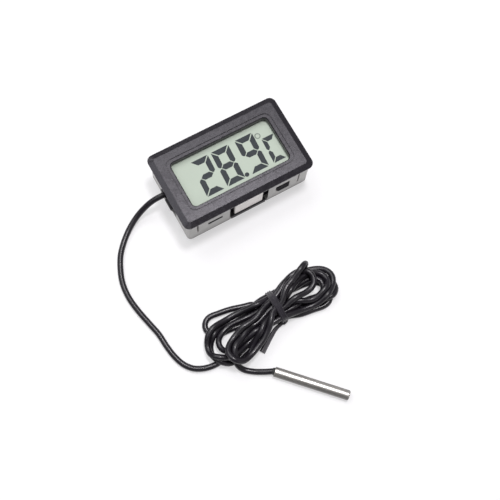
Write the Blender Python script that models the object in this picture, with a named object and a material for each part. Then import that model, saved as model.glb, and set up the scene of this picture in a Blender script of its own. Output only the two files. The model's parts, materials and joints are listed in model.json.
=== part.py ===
"""Small digital thermometer with a wired probe, as separate solid pieces.

The meter lies on its back. X runs along its long side, Y towards the top of the display
and Z up through the front face. The origin is at the middle of the housing's back.
Lengths are written in millimetres and turned into metres by mm().
"""
import math

import bmesh
import bpy
from mathutils import Matrix, Vector

MM = 0.001

# ---- driving dimensions, in millimetres -------------------------------------------------
TOTAL_HEIGHT = 15.2          # back of the housing to the top of the frame
FRAME_X, FRAME_Y = 24.0, 14.3        # half sizes of the front frame's flange
FLAT_X, FLAT_Y = 22.1, 12.4          # half sizes of the flat that the bevel runs up to
FLANGE_BACK = 14.1           # rear face of the flange
FLANGE_LAND = 14.5           # top of the flange's upright edge
GROOVE_X, GROOVE_Y = 19.45, 9.75     # centre line of the groove round the window
WINDOW_X, WINDOW_Y = 18.05, 8.45
BODY_X, BODY_Y = 23.0, 13.3          # half sizes of the housing
BODY_TOP = 13.8
WALL = 1.2
INNER_X, INNER_Y = BODY_X - WALL, BODY_Y - WALL
FLOOR_TOP = 1.4
CELL_RADIUS, CELL_HEIGHT = 5.8, 5.4
CHANNEL_HALF = 6.9           # half width of the battery door's channel
DOOR_HALF = 6.6              # half width of the battery door
CORD_RADIUS = 1.0
PROBE_RADIUS, PROBE_LENGTH = 1.65, 25.0
PROBE_START = Vector((-19.84, -65.45, PROBE_RADIUS))
PROBE_WAY = Vector((0.683, -0.7304, 0.0)).normalized()
CLIP_TIP_X = 24.5            # how far the panel clips stand out at rest
CLIP_AXIS_X, CLIP_AXIS_Z = 22.4, 3.0

# ---- colours: (red, green, blue), roughness, metallic ------------------------------------
LOOKS = {
    "black_plastic": ((0.030, 0.028, 0.033), 0.42, 0.0),
    "grey_plastic": ((0.42, 0.42, 0.43), 0.45, 0.0),
    "dark_grey_plastic": ((0.20, 0.20, 0.21), 0.50, 0.0),
    "white_plastic": ((0.76, 0.74, 0.71), 0.50, 0.0),
    "lcd_film": ((0.58, 0.63, 0.54), 0.30, 0.0),
    "lcd_glass": ((0.70, 0.76, 0.70), 0.08, 0.0),
    "silver_film": ((0.66, 0.68, 0.63), 0.35, 0.2),
    "elastomer": ((0.55, 0.30, 0.34), 0.60, 0.0),
    "circuit_green": ((0.03, 0.20, 0.09), 0.45, 0.0),
    "epoxy_black": ((0.015, 0.015, 0.016), 0.30, 0.0),
    "tin_metal": ((0.72, 0.72, 0.70), 0.28, 1.0),
    "cell_steel": ((0.78, 0.78, 0.77), 0.22, 1.0),
    "ceramic_tan": ((0.50, 0.38, 0.24), 0.45, 0.0),
    "resistor_black": ((0.04, 0.04, 0.045), 0.40, 0.0),
    "cable_black": ((0.022, 0.021, 0.024), 0.45, 0.0),
    "wire_red": ((0.50, 0.03, 0.03), 0.45, 0.0),
    "wire_white": ((0.75, 0.74, 0.70), 0.45, 0.0),
    "stainless_steel": ((0.76, 0.75, 0.73), 0.14, 1.0),
    "seal_black": ((0.03, 0.03, 0.03), 0.55, 0.0),
    "bead_glass": ((0.30, 0.12, 0.05), 0.20, 0.0),
}


def clear_scene():
    for old in list(bpy.data.objects):
        bpy.data.objects.remove(old, do_unlink=True)


def look(name):
    material = bpy.data.materials.get(name)
    if material is None:
        material = bpy.data.materials.new(name)
        material.use_nodes = True
        colour, roughness, metallic = LOOKS[name]
        shader = material.node_tree.nodes["Principled BSDF"]
        shader.inputs["Base Color"].default_value = (*colour, 1.0)
        shader.inputs["Roughness"].default_value = roughness
        shader.inputs["Metallic"].default_value = metallic
        material.diffuse_color = (*colour, 1.0)
    return material


def finish_mesh(name, bm, look_name, smooth_angle=35.0):
    """Turn a bmesh in millimetres into an object in metres, with its faces out."""
    bmesh.ops.remove_doubles(bm, verts=bm.verts, dist=0.0005)
    bmesh.ops.recalc_face_normals(bm, faces=bm.faces)
    bmesh.ops.scale(bm, vec=(MM, MM, MM), verts=bm.verts)
    mesh = bpy.data.meshes.new(name)
    bm.to_mesh(mesh)
    bm.free()
    mesh.shade_smooth()
    mesh.set_sharp_from_angle(angle=math.radians(smooth_angle))
    obj = bpy.data.objects.new(name, mesh)
    bpy.context.scene.collection.objects.link(obj)
    if look_name:
        mesh.materials.append(look(look_name))
    return obj


# ---- outlines and basic solids -----------------------------------------------------------
def rounded_rect(half_x, half_y, radius, steps=4, centre=(0.0, 0.0)):
    """Corner points of a rectangle with round corners, anticlockwise."""
    points = []
    for corner, (sx, sy) in enumerate(((1, 1), (-1, 1), (-1, -1), (1, -1))):
        cx, cy = sx * (half_x - radius), sy * (half_y - radius)
        for step in range(steps + 1):
            angle = math.radians(90 * corner + 90 * step / steps)
            points.append((centre[0] + cx + radius * math.cos(angle),
                           centre[1] + cy + radius * math.sin(angle)))
    return points


def circle(radius, count=24, centre=(0.0, 0.0)):
    return [(centre[0] + radius * math.cos(2 * math.pi * i / count),
             centre[1] + radius * math.sin(2 * math.pi * i / count)) for i in range(count)]


def loft(name, layers, look_name=None, place=None):
    """Stack outlines of equal point count; layers are (outline, z)."""
    bm = bmesh.new()
    rings = [[bm.verts.new((x, y, z)) for x, y in outline] for outline, z in layers]
    count = len(rings[0])
    for low, high in zip(rings, rings[1:]):
        for i in range(count):
            j = (i + 1) % count
            bm.faces.new((low[i], low[j], high[j], high[i]))
    bm.faces.new(list(reversed(rings[0])))
    bm.faces.new(rings[-1])
    if place is not None:
        bmesh.ops.transform(bm, matrix=place, verts=bm.verts)
    return finish_mesh(name, bm, look_name)


def prism(name, outline, z0, z1, look_name=None, place=None):
    return loft(name, [(outline, z0), (outline, z1)], look_name, place)


def block(name, x0, x1, y0, y1, z0, z1, look_name=None):
    return prism(name, [(x0, y0), (x1, y0), (x1, y1), (x0, y1)], z0, z1, look_name)


def side_prism(name, profile_xz, y0, y1, look_name=None):
    """A profile in X and Z, drawn out along Y."""
    turn = Matrix(((1, 0, 0, 0), (0, 0, 1, 0), (0, 1, 0, 0), (0, 0, 0, 1)))
    return prism(name, profile_xz, y0, y1, look_name, turn)


def along_x(x):
    """Placement that turns a Z-axis solid to run along +X from the given x."""
    return Matrix.Translation((x, 0, 0)) @ Matrix.Rotation(math.radians(90), 4, "Y")


def combine(target, operation, tool):
    """Apply one exact Boolean to target and remove the tool."""
    step = target.modifiers.new("join", "BOOLEAN")
    step.operation = operation
    step.solver = "EXACT"
    step.object = tool
    graph = bpy.context.evaluated_depsgraph_get()
    mesh = bpy.data.meshes.new_from_object(target.evaluated_get(graph))
    target.modifiers.clear()
    old = target.data
    target.data = mesh
    bpy.data.meshes.remove(old)
    bpy.data.objects.remove(tool, do_unlink=True)
    target.data.shade_smooth()
    target.data.set_sharp_from_angle(angle=math.radians(35))
    return target


def cut(target, *tools):
    for tool in tools:
        combine(target, "DIFFERENCE", tool)
    return target


def join(target, *tools):
    for tool in tools:
        combine(target, "UNION", tool)
    return target


def set_look(obj, look_name):
    obj.data.materials.clear()
    obj.data.materials.append(look(look_name))
    return obj


def set_origin(obj, x, y, z):
    """Move the object's origin to a point in millimetres without moving the shape."""
    point = Vector((x * MM, y * MM, z * MM))
    obj.data.transform(Matrix.Translation(-point))
    obj.location = point
    return obj


def smooth_route(points, spacing):
    """Points a set distance apart on a centripetal curve through the given points."""
    pts = [Vector(p) for p in points]
    pts = [2 * pts[0] - pts[1]] + pts + [2 * pts[-1] - pts[-2]]
    fine = []
    for a, b, c, d in zip(pts, pts[1:], pts[2:], pts[3:]):
        t0 = 0.0
        t1 = t0 + math.sqrt((b - a).length)
        t2 = t1 + math.sqrt((c - b).length)
        t3 = t2 + math.sqrt((d - c).length)
        for step in range(24):
            t = t1 + (t2 - t1) * step / 24
            ab = a.lerp(b, (t - t0) / (t1 - t0))
            bc = b.lerp(c, (t - t1) / (t2 - t1))
            cd = c.lerp(d, (t - t2) / (t3 - t2))
            abc = ab.lerp(bc, (t - t0) / (t2 - t0))
            bcd = bc.lerp(cd, (t - t1) / (t3 - t1))
            fine.append(abc.lerp(bcd, (t - t1) / (t2 - t1)))
    fine.append(pts[-2])
    total = sum((b - a).length for a, b in zip(fine, fine[1:]))
    count = max(3, round(total / spacing))
    picked, walked, target = [fine[0]], 0.0, total / count
    for a, b in zip(fine, fine[1:]):
        length = (b - a).length
        while walked + length >= target - 1e-9 and len(picked) < count:
            picked.append(a.lerp(b, (target - walked) / length))
            target += total / count
        walked += length
    picked.append(fine[-1])
    return picked


def tube(name, route, radius, look_name, spacing=None, resolution=2):
    """A round cord along a smooth route, with closed ends."""
    curve = bpy.data.curves.new(name, "CURVE")
    curve.dimensions = "3D"
    curve.bevel_depth = radius * MM
    curve.bevel_resolution = resolution
    curve.use_fill_caps = True
    points = smooth_route(route, spacing or 5 * radius)
    spline = curve.splines.new("POLY")
    spline.points.add(len(points) - 1)
    for target, point in zip(spline.points, points):
        target.co = (*(point * MM), 1.0)
    curve.materials.append(look(look_name))
    obj = bpy.data.objects.new(name, curve)
    bpy.context.scene.collection.objects.link(obj)
    return obj


# ---- housing -----------------------------------------------------------------------------
def make_housing():
    """Open-fronted tub with ramped ends, battery channel, clip windows and hook windows."""
    shell = loft("housing", [(rounded_rect(BODY_X - 0.5, BODY_Y - 0.5, 0.8), 0.0),
                             (rounded_rect(BODY_X, BODY_Y, 1.2), 0.7),
                             (rounded_rect(BODY_X, BODY_Y, 1.2), BODY_TOP)])
    for side in (-1, 1):
        ramp = side_prism("ramp", [(side * 18.8, -0.5), (side * 18.8, 0.0), (side * 24.0, 1.5),
                                   (side * 24.0, -0.5)], -15, 15)
        cut(shell, ramp)
    cavity = block("cavity", -INNER_X, INNER_X, -INNER_Y, INNER_Y, 2.9, BODY_TOP + 1)
    cut(shell, cavity)
    for side in (-1, 1):
        # the floor is thinner outside the two rails that guide the battery door
        x0, x1 = sorted((side * 9.4, side * 17.8))
        cut(shell, block("well", x0, x1, -INNER_Y, INNER_Y, FLOOR_TOP, 3.5))
    # door channel: open below and at the front, with a thin rib along each side
    cut(shell, block("channel", -CHANNEL_HALF, CHANNEL_HALF, -BODY_Y - 1, INNER_Y, -1, 4.0))
    cut(shell, prism("front_opening", [
        (-7.25, -BODY_Y - 1), (7.25, -BODY_Y - 1), (7.25, -BODY_Y), (8.2, -INNER_Y),
        (8.2, -INNER_Y + 0.5), (-8.2, -INNER_Y + 0.5), (-8.2, -INNER_Y), (-7.25, -BODY_Y)],
        2.0, 11.4))
    for side in (-1, 1):
        x0, x1 = sorted((side * (CHANNEL_HALF - 0.9), side * (CHANNEL_HALF + 0.5)))
        join(shell, block("door_rib", x0, x1, -INNER_Y + 0.2, INNER_Y, 0.8, 1.2))
    # openings for the two panel clips, open at the rim
    cut(shell, block("clip_gap_left", -BODY_X - 1, -INNER_X + 0.5, -4.6, 0.4, 2.0, BODY_TOP + 1))
    cut(shell, block("clip_gap_right", INNER_X - 0.5, BODY_X + 1, -0.4, 4.6, 2.0, BODY_TOP + 1))
    # hook windows and relief slots in both long walls
    for side in (-1, 1):
        y0, y1 = sorted((side * (INNER_Y - 0.5), side * (BODY_Y + 1)))
        cut(shell, block("hook_slit", -15.5, -10.1, y0, y1, 6.8, 8.3))
        cut(shell, side_prism("hook_window", [(10.2, 6.0), (11.4, 3.9), (15.5, 3.9), (15.5, 8.8),
                                              (10.2, 8.8)], y0, y1))
        for x, low in ((-19.35, 5.0), (18.95, 4.0)):
            cut(shell, block("relief", x - 0.25, x + 0.25, y0, y1, low, BODY_TOP + 1))
    # hole for the sensor cable's bushing
    cut(shell, prism("cable_hole", circle(1.75, 20, (-7.4, 2.7)), -3, 3, None, along_x(-BODY_X)))
    # posts that carry the circuit board
    for x in (-19.6, 19.6):
        for y in (-9.3, 9.3):
            join(shell, prism("post", circle(1.2, 14, (x, y)), 1.6, 8.6))
    return set_look(shell, "grey_plastic")


def make_frame():
    """Bevelled front frame with window, groove, display pocket and four hook legs."""
    frame = loft("front_frame", [
        (rounded_rect(FRAME_X, FRAME_Y, 2.2, 6), FLANGE_BACK),
        (rounded_rect(FRAME_X, FRAME_Y, 2.2, 6), FLANGE_LAND),
        (rounded_rect(FLAT_X, FLAT_Y, 0.9, 6), TOTAL_HEIGHT)])
    skirt = prism("skirt", rounded_rect(21.5, 11.8, 0.8), 9.75, 14.6)
    join(frame, skirt)
    cut(frame, block("skirt_side_trim", -19.2, 19.2, -13, 13, 9.0, 11.1))
    for side in (-1, 1):
        for x in (-12.8, 12.8):
            y0, y1 = sorted((side * 10.95, side * 11.75))
            leg = block("leg", x - 2.3, x + 2.3, y0, y1, 6.9, 12.0)
            # the hook fills its window in the wall, short of the window's edges
            barb = [(10.5, 6.1), (11.55, 4.25), (15.2, 4.25), (15.2, 7.9), (10.5, 7.9)]
            if x < 0:
                barb = [(-15.2, 7.1), (-10.4, 7.1), (-10.4, 8.0), (-15.2, 8.0)]
            barb = side_prism("barb", barb, *sorted((side * 11.3, side * 12.8)))
            join(frame, leg, barb)
    cut(frame, prism("pocket", rounded_rect(19.85, 10.35, 0.4), 8.0, 13.1))
    cut(frame, loft("window", [(rounded_rect(WINDOW_X, WINDOW_Y, 1.5, 5), 12.0),
                               (rounded_rect(WINDOW_X, WINDOW_Y, 1.5, 5), 14.9),
                               (rounded_rect(WINDOW_X + 0.8, WINDOW_Y + 0.8, 2.3, 5), 15.7)]))
    groove = prism("groove", rounded_rect(GROOVE_X + 0.17, GROOVE_Y + 0.17, 2.6, 5),
                   TOTAL_HEIGHT - 0.3, TOTAL_HEIGHT + 1)
    cut(groove, prism("island", rounded_rect(GROOVE_X - 0.17, GROOVE_Y - 0.17, 2.26, 5),
                      TOTAL_HEIGHT - 1, TOTAL_HEIGHT + 2))
    cut(frame, groove)
    # the skirt's ends are open where the panel clips swing in
    cut(frame, block("clip_path_left", -24, -19.0, -5.2, 1.4, 8.0, FLANGE_BACK - 0.05))
    cut(frame, block("clip_path_right", 19.0, 24, -1.4, 5.2, 8.0, FLANGE_BACK - 0.05))
    return set_look(frame, "black_plastic")


def make_clip(name, side, y0, y1):
    """Flexible tongue: rooted low in the end wall, its wedge gripping under the flange."""
    profile = [(side * x, z) for x, z in (
        (21.9, 2.3), (22.95, 2.3), (22.95, 5.0), (CLIP_TIP_X, 10.1), (CLIP_TIP_X, 10.8),
        (21.9, 10.8))]
    clip = side_prism(name, profile, y0, y1, "black_plastic")
    return set_origin(clip, side * CLIP_AXIS_X, 0.5 * (y0 + y1), CLIP_AXIS_Z)


# ---- display and electronics --------------------------------------------------------------
def make_display():
    block("display_front_film", -19.3, 19.3, -9.9, 9.9, 12.82, 13.00, "lcd_film")
    block("display_front_glass", -19.55, 19.55, -10.05, 10.05, 11.92, 12.75, "lcd_glass")
    block("display_rear_glass", -19.55, 19.55, -10.05, 8.0, 11.02, 11.85, "lcd_glass")
    block("display_rear_film", -19.3, 19.3, -9.9, 7.8, 10.80, 10.95, "silver_film")
    block("contact_strip", -17.0, 17.0, 8.35, 9.95, 9.70, 11.82, "elastomer")


def make_board():
    board = block("circuit_board", -21.1, 21.1, -10.65, 10.65, 8.80, 9.60)
    cut(board, block("notch_left", -23, -19.4, -5.4, 1.6, 8, 11))
    cut(board, block("notch_right", 19.4, 23, -1.6, 5.4, 8, 11))
    set_look(board, "circuit_green")
    loft("chip_cover", [(circle(3.0, 24, (-13.0, -3.0)), 8.70), (circle(2.9, 24, (-13.0, -3.0)), 8.30),
                        (circle(2.3, 24, (-13.0, -3.0)), 7.85), (circle(1.2, 24, (-13.0, -3.0)), 7.62)],
         "epoxy_black")
    crystal = prism("watch_crystal", circle(1.0, 16, (-7.55, 6.6)), 0, 6.0, None, along_x(10.5))
    set_look(crystal, "tin_metal")
    for index, (x, y) in enumerate(((-16.8, 5.2), (-13.6, 5.2), (12.6, -5.0)), 1):
        block("resistor_%d" % index, x - 1.0, x + 1.0, y - 0.62, y + 0.62, 8.22, 8.70,
              "resistor_black")
    for index, (x, y) in enumerate(((15.8, -5.0), (12.6, -1.6)), 1):
        block("capacitor_%d" % index, x - 1.0, x + 1.0, y - 0.62, y + 0.62, 7.95, 8.70,
              "ceramic_tan")


# ---- battery compartment -------------------------------------------------------------------
CELL_BOTTOM = 2.35
FRONT_CELL_Y, REAR_CELL_Y = -5.65, 6.05


def make_cell(name, y, plus_up):
    """Button cell: wide can with a stepped cap at its negative end."""
    r = CELL_RADIUS
    steps = [(r - 0.3, 0.0), (r, 0.3), (r, CELL_HEIGHT - 0.75), (r - 0.55, CELL_HEIGHT - 0.45),
             (r - 0.85, CELL_HEIGHT - 0.45), (r - 1.0, CELL_HEIGHT - 0.05),
             (r - 1.3, CELL_HEIGHT)]
    if plus_up:
        steps = [(radius, CELL_HEIGHT - z) for radius, z in reversed(steps)]
    return loft(name, [(circle(radius, 40, (0.0, y)), CELL_BOTTOM + z) for radius, z in steps],
                "cell_steel")


def make_battery_parts():
    make_cell("battery_cell_front", FRONT_CELL_Y, True)
    make_cell("battery_cell_rear", REAR_CELL_Y, False)
    holder = block("battery_holder", -6.8, 6.8, -12.0, 11.95, 3.2, 8.6)
    cut(holder, prism("front_pocket", circle(CELL_RADIUS + 0.2, 40, (0.0, FRONT_CELL_Y)), 2, 8.05))
    cut(holder, prism("rear_pocket", circle(CELL_RADIUS + 0.2, 40, (0.0, REAR_CELL_Y)), 2, 8.05))
    cut(holder, block("middle", -5.0, 5.0, -5.0, 5.5, 2, 8.05))
    cut(holder, block("front_mouth", -5.0, 5.0, -13, -5.0, 2, 8.05))
    cut(holder, block("rear_mouth", -4.0, 4.0, 6.0, 13, 2, 8.05))
    # end flange, seen behind the opening in the long wall
    flange = block("flange", -8.9, 8.9, -12.0, -11.5, 3.2, 10.6)
    cut(flange, block("flange_mouth", -5.0, 5.0, -13, -11, 2, 8.05))
    join(holder, flange)
    for y in (FRONT_CELL_Y, REAR_CELL_Y):
        cut(holder, block("leg_slot", 3.0, 4.6, y - 1.0, y + 1.0, 7.5, 9.5))
    set_look(holder, "black_plastic")
    block("battery_end_plate", -5.3, 5.3, -13.15, -12.25, 2.75, 11.2, "white_plastic")
    for name, y in (("contact_positive", FRONT_CELL_Y), ("contact_negative", REAR_CELL_Y)):
        strip = block(name, -2.6, 4.2, y - 1.8, y + 1.8, 7.80, 7.98)
        join(strip, block("leg", 3.6, 4.2, y - 0.7, y + 0.7, 7.9, 8.74))
        set_look(strip, "tin_metal")
    link = block("contact_link", -2.5, 2.5, -9.0, 9.3, 1.86, 2.02)
    for y in (FRONT_CELL_Y, REAR_CELL_Y):
        join(link, loft("dimple", [(circle(1.5, 16, (0.0, y)), 1.95),
                                   (circle(0.7, 16, (0.0, y)), 2.25)]))
    set_look(link, "tin_metal")
    set_origin(link, 0, 0, 1.0)
    door = block("battery_door", -DOOR_HALF, DOOR_HALF, -BODY_Y, 11.75, 0.25, 1.75)
    for side in (-1, 1):
        # groove for the channel's rib, closed at the front end
        x0, x1 = sorted((side * (DOOR_HALF - 0.9), side * (DOOR_HALF + 1)))
        cut(door, block("groove", x0, x1, -INNER_Y - 0.1, 13.0, 0.55, 1.45))
    join(door, block("lip", -DOOR_HALF, DOOR_HALF, -BODY_Y, -BODY_Y + 0.9, 1.5, 2.35))
    for x in (-3.0, 0.0, 3.0):
        # shallow grip dents across the outer face
        cut(door, block("grip", x - 1.2, x + 1.2, -12.2, -11.8, -1, 0.5))
    set_look(door, "dark_grey_plastic")
    set_origin(door, 0, 0, 1.0)


# ---- sensor cable and probe ------------------------------------------------------------------
LEAD_ROUTE = [
    (-20.9, 2.7, 7.4), (-23.6, 2.7, 7.4), (-27.9, 2.9, 6.3), (-33.2, 2.2, 3.2),
    (-38.0, -0.1, 1.45), (-42.1, -3.5, 1.0), (-45.1, -7.0, 1.0), (-47.2, -10.9, 1.0),
    (-48.9, -15.7, 1.0), (-49.4, -21.1, 1.0), (-48.8, -26.4, 1.0), (-47.6, -31.9, 1.0),
    (-46.5, -36.8, 1.0), (-46.1, -41.7, 1.0), (-45.4, -45.8, 1.0), (-44.0, -49.5, 1.0),
    (-41.4, -52.4, 1.0), (-38.4, -53.9, 1.0), (-35.75, -54.75, 1.0)]
HANK_OUTLINE = [
    (-36.4, -49.0), (-36.2, -45.5), (-34.6, -41.6), (-31.4, -40.1), (-25.0, -40.6),
    (-17.0, -41.6), (-11.6, -42.3), (-6.8, -42.3), (-1.0, -41.0), (4.0, -38.9), (8.2, -37.9),
    (11.8, -41.4), (14.0, -45.6), (14.0, -49.9), (12.4, -53.4), (8.2, -55.9), (2.0, -55.6),
    (-6.8, -53.3), (-11.6, -53.4), (-16.0, -55.9), (-21.5, -58.3), (-28.4, -59.1),
    (-33.0, -57.2), (-35.4, -53.6)]
TIE_X0, TIE_X1 = -10.3, -7.5


def make_cable():
    bushing = prism("cable_bushing", circle(1.5, 20, (-7.4, 2.7)), 0, 1.9, None, along_x(-23.4))
    join(bushing, prism("collar", circle(2.1, 20, (-7.4, 2.7)), 0, 0.5, None, along_x(-23.8)))
    cut(bushing, prism("bore", circle(1.15, 20, (-7.4, 2.7)), -2, 5, None, along_x(-23.4)))
    set_look(bushing, "cable_black")
    tube("sensor_wire_red", [(-20.55, 2.2, 7.5), (-19.2, 1.9, 7.1), (-17.8, 1.4, 7.3),
                             (-17.3, 1.1, 8.45)], 0.32, "wire_red", 1.2)
    tube("sensor_wire_white", [(-20.55, 3.2, 7.5), (-18.8, 3.4, 7.0), (-16.6, 3.1, 7.2),
                               (-15.9, 2.8, 8.45)], 0.32, "wire_white", 1.2)
    tube("sensor_cable_lead", LEAD_ROUTE, CORD_RADIUS, "cable_black", 4.6)

    hank = loft("sensor_cable_hank", [
        ([((x + 11) * 0.965 - 11, (y + 48) * 0.93 - 48) for x, y in HANK_OUTLINE], 0.05),
        (HANK_OUTLINE, 1.3), (HANK_OUTLINE, 4.2),
        ([((x + 11) * 0.94 - 11, (y + 48) * 0.86 - 48) for x, y in HANK_OUTLINE], 6.0),
        ([((x + 11) * 0.80 - 11, (y + 48) * 0.55 - 48) for x, y in HANK_OUTLINE], 7.5)])
    cut(hank, block("tie_relief", TIE_X0 - 0.4, TIE_X1 + 0.4, -60, -36, -1, 0.9))
    for side, y in ((-1, -52.35), (1, -42.35)):
        y0, y1 = sorted((y, y + side * 8))
        cut(hank, block("side_relief", TIE_X0 - 0.4, TIE_X1 + 0.4, y0, y1, -1, 9))
    set_look(hank, "cable_black")

    tie = prism("twist_tie", rounded_rect(4.2, 6.0, 1.6, 4, (4.25, -47.2)), TIE_X0, TIE_X1, None,
                Matrix(((0, 0, 1, 0), (0, 1, 0, 0), (1, 0, 0, 0), (0, 0, 0, 1))))
    cut(tie, prism("loop", rounded_rect(3.7, 5.5, 1.1, 4, (4.25, -47.2)), TIE_X0 - 1, TIE_X1 + 1,
                   None, Matrix(((0, 0, 1, 0), (0, 1, 0, 0), (1, 0, 0, 0), (0, 0, 0, 1)))))
    set_look(tie, "black_plastic")

    start, way = PROBE_START, PROBE_WAY
    tail_end = start - 0.35 * way
    tube("sensor_cable_tail", [(-29.6, -59.45, 1.0), (-28.2, -61.3, 1.05), (-25.2, -63.6, 1.4),
                               (-22.7, -64.4, 1.5), tuple(tail_end)],
         CORD_RADIUS, "cable_black", 2.6)

    across = Matrix.Translation(start) @ way.to_track_quat("Z", "Y").to_matrix().to_4x4()
    sheath = loft("probe_sheath", [
        (circle(PROBE_RADIUS, 28), 0.0), (circle(PROBE_RADIUS, 28), PROBE_LENGTH - 0.3),
        (circle(PROBE_RADIUS - 0.3, 28), PROBE_LENGTH)], None, across)
    cut(sheath, prism("sheath_bore", circle(PROBE_RADIUS - 0.3, 28), -1, PROBE_LENGTH - 0.8,
                      None, across))
    set_look(sheath, "stainless_steel")
    seal = prism("probe_seal", circle(1.2, 20), 0.15, 3.0, None, across)
    set_look(seal, "seal_black")
    tube("probe_core", [tuple(start + s * way) for s in (3.3, 8.0, 14.0, 19.6)], 0.7,
         "wire_white", 3.2)
    bead = loft("thermistor_bead", [(circle(r, 14), z) for r, z in (
        (0.5, 19.9), (0.85, 20.3), (0.95, 21.2), (0.8, 22.2), (0.4, 22.7))], None, across)
    set_look(bead, "bead_glass")


def main():
    clear_scene()
    make_housing()
    make_frame()
    make_clip("panel_clip_left", -1, -4.2, 0.0)
    make_clip("panel_clip_right", 1, 0.0, 4.2)
    make_display()
    make_board()
    make_battery_parts()
    make_cable()


main()
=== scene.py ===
"""Looks for the small digital thermometer with a wired probe.

Lengths in the tables below are millimetres in the part's own frame: X along the meter's
long side, Y towards the top of the display, Z up, and the surface it lies on at Z = 0.
"""

import json
import math

import bmesh
import bpy
import numpy as np
from mathutils import Matrix, Vector

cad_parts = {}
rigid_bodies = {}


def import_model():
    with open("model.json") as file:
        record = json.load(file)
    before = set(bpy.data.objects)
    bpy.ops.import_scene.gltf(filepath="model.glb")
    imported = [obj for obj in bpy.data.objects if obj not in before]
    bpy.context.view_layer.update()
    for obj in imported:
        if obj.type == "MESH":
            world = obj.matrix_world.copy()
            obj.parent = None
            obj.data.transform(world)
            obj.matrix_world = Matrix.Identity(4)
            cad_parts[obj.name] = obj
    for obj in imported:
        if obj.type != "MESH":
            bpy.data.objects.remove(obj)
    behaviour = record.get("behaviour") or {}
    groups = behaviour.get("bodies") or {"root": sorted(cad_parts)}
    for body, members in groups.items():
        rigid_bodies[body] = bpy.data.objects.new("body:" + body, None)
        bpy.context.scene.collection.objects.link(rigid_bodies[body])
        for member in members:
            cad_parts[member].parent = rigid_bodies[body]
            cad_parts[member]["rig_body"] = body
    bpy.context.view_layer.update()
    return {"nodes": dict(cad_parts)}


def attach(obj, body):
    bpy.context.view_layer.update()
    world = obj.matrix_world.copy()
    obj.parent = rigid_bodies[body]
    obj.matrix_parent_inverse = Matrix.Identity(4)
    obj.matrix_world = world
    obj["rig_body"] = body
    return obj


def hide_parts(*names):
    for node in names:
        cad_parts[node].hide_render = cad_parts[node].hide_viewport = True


MM = 0.001

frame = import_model()
NODES = frame["nodes"]

# ---- driving dimensions, in millimetres ---------------------------------------------------
CORD_DIAMETER = 2.0
PROBE_RADIUS, PROBE_LENGTH, PROBE_WALL = 1.65, 25.0, 0.25
PROBE_START = Vector((-19.84, -65.45, PROBE_RADIUS))
PROBE_WAY = Vector((0.683, -0.7304, 0.0)).normalized()
TIE_X, TIE_WIDTH = -8.9, 2.4
WALL_FACE = 13.3             # outer face of the housing's long walls, from the middle
HOOK_ROOT = 12.3             # how far in the hooks' outer plates reach
HOOK_PROUD, HOOK_EASE = 0.03, 0.04
# the hooks' outer plates, as (x, z) corners: a slit and a window with a slanted side
HOOK_OUTLINES = ([(-15.45, 6.84), (-10.15, 6.84), (-10.15, 8.26), (-15.45, 8.26)],
                 [(10.35, 6.1), (11.48, 4.05), (15.35, 4.05), (15.35, 8.0), (10.35, 8.0)])
# the door's upright strip is a black sheet that paints the shadow line in the gap under the end
# panel
STRIP_HALF, STRIP_THICK, STRIP_CHAMFER = 6.5, 0.11, (0.04, 0.05)    # the door's upright strip
STRIP_BOTTOM, STRIP_TOP = 2.1, 3.25

# the figures lie on the display's film, from just inside it to just above it
FIGURE_BOTTOM, FIGURE_TOP = 12.995, 13.02
DIGIT_SLANT = 0.05           # sideways lean of the digits per unit of height
# bar thicknesses of upright and level bars, and the gap between bars
BIG_BARS, SMALL_BARS = (1.85, 2.0, 0.34), (1.42, 1.65, 0.26)
# each figure: its box (x0, x1, y0, y1), its bars and the letters of the bars that are lit
FIGURES = (((-11.9, -5.4, -6.75, 6.4), BIG_BARS, "abged"),
           ((-4.3, 2.3, -6.75, 6.4), BIG_BARS, "abcdefg"),
           ((4.7, 11.3, -6.75, 6.4), BIG_BARS, "abcdfg"),
           ((13.15, 17.95, -6.75, 2.75), SMALL_BARS, "afed"))
POINT_X, POINT_Y, POINT_RADIUS = 3.25, -6.0, 0.78
DEGREE_X, DEGREE_Y, DEGREE_OUTER, DEGREE_INNER = 12.55, 4.35, 1.05, 0.68

# ---- camera and light -----------------------------------------------------------------------
SENSOR_WIDTH, LENS = 36.0, 61.2
CAMERA_PLACE = Vector((-0.05794, -0.09195, 0.27261))
CAMERA_RIGHT = Vector((0.87005, -0.49087, 0.04528))
CAMERA_UP = Vector((0.45872, 0.83984, 0.29024))
CAMERA_BACK = Vector((-0.18050, -0.23176, 0.95588))
BRIGHT_SIDE = (0.724, 0.689, 0.0)    # the level direction in which the room is brightest
# room brightness from straight against the bright side (0) to straight towards it (1)
ROOM_LEVELS = ((0.0, 0.19), (0.30, 0.20), (0.50, 0.22), (0.72, 0.32), (1.0, 0.36))
ROOM_STRENGTH = 1.0
WHITE = (1.0, 1.0, 1.0)
# name, direction from the meter, distance and (width, height) in metres, watts and colour
LAMPS = (
    ("overhead", (0.155, 0.09, 1.0), 1.2, (0.21, 0.21), 8.2, (1.0, 0.975, 1.0)),
    ("overhead_wide", (-0.15, -0.13, 1.0), 1.2, (0.48, 0.48), 1.2, WHITE),
    ("rear", (-0.05, 0.72, 1.0), 1.5, (0.80, 0.80), 7.4, WHITE),
    ("window", (-0.65, 0.36, 1.0), 1.5, (0.70, 0.70), 3.0, (0.96, 0.98, 1.0)),
    ("side_strip", (0.724, 0.689, 1.75), 1.5, (0.24, 0.85), 1.0, WHITE),
    ("front_fill", (0.35, -1.0, 0.60), 1.5, (0.90, 0.90), 1.5, (1.0, 0.99, 0.97)),
)
FLOOR_RADIUS = 1.6           # metres


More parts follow.
